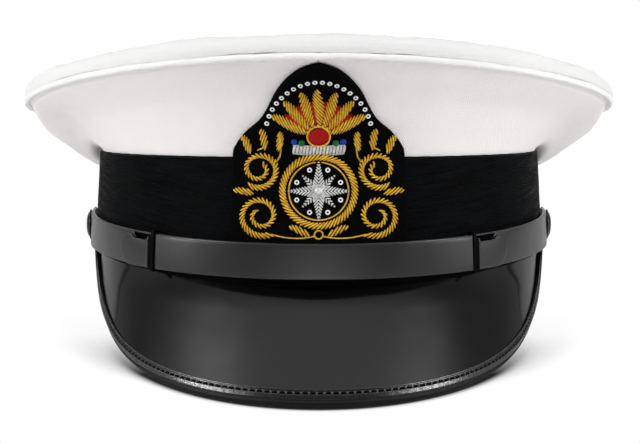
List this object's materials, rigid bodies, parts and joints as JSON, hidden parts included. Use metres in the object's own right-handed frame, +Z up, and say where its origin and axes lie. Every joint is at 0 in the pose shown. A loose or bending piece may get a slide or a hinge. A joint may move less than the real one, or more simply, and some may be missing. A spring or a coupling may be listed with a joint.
{
  "type": "peaked cap",
  "caption": "Peaked cap with a white cloth crown, black ribbed band, embroidered badge patch, glossy chin strap on side buttons and a bound glossy peak.",
  "frame": {"origin": "on the surface that the cap rests on, under the middle of its bounding box", "axes": "+Z up, -Y towards the front, where the peak is, +X to the right in a view of the front"},
  "size_m": [0.2376, 0.2812, 0.127],
  "materials": {
    "crown_cloth": "white cotton twill",
    "piping_cloth": "white cloth over cord",
    "band_braid": "black ribbed braid",
    "badge_felt": "black felt",
    "gold_wire": "gold bullion wire embroidery",
    "silver_wire": "silver bullion wire embroidery",
    "coloured_thread": "satin stitch in red, white, blue and green",
    "peak_patent": "black patent, high gloss",
    "binding_leather": "black grained binding, glossy",
    "strap_patent": "black patent, glossy",
    "button_black": "black, polished"
  },
  "bodies": {
    "root": {"crown_top": "crown_cloth", "crown_piping": "piping_cloth", "crown_side_left": "crown_cloth", "crown_side_right": "crown_cloth", "cap_band": "band_braid", "badge_patch": "badge_felt", "badge_ring": "gold_wire", "badge_star": "silver_wire", "badge_palmette": "gold_wire", "badge_scroll_left_lower": "gold_wire", "badge_scroll_left_upper": "gold_wire", "badge_scroll_right_lower": "gold_wire", "badge_scroll_right_upper": "gold_wire", "peak": "peak_patent", "peak_binding": "binding_leather", "chin_strap": "strap_patent", "strap_front": "strap_patent", "strap_slide_left": "strap_patent", "strap_slide_right": "strap_patent", "strap_keeper_left": "strap_patent", "strap_keeper_right": "strap_patent", "side_button_left": "button_black", "side_button_right": "button_black"}
  },
  "joints": []
}
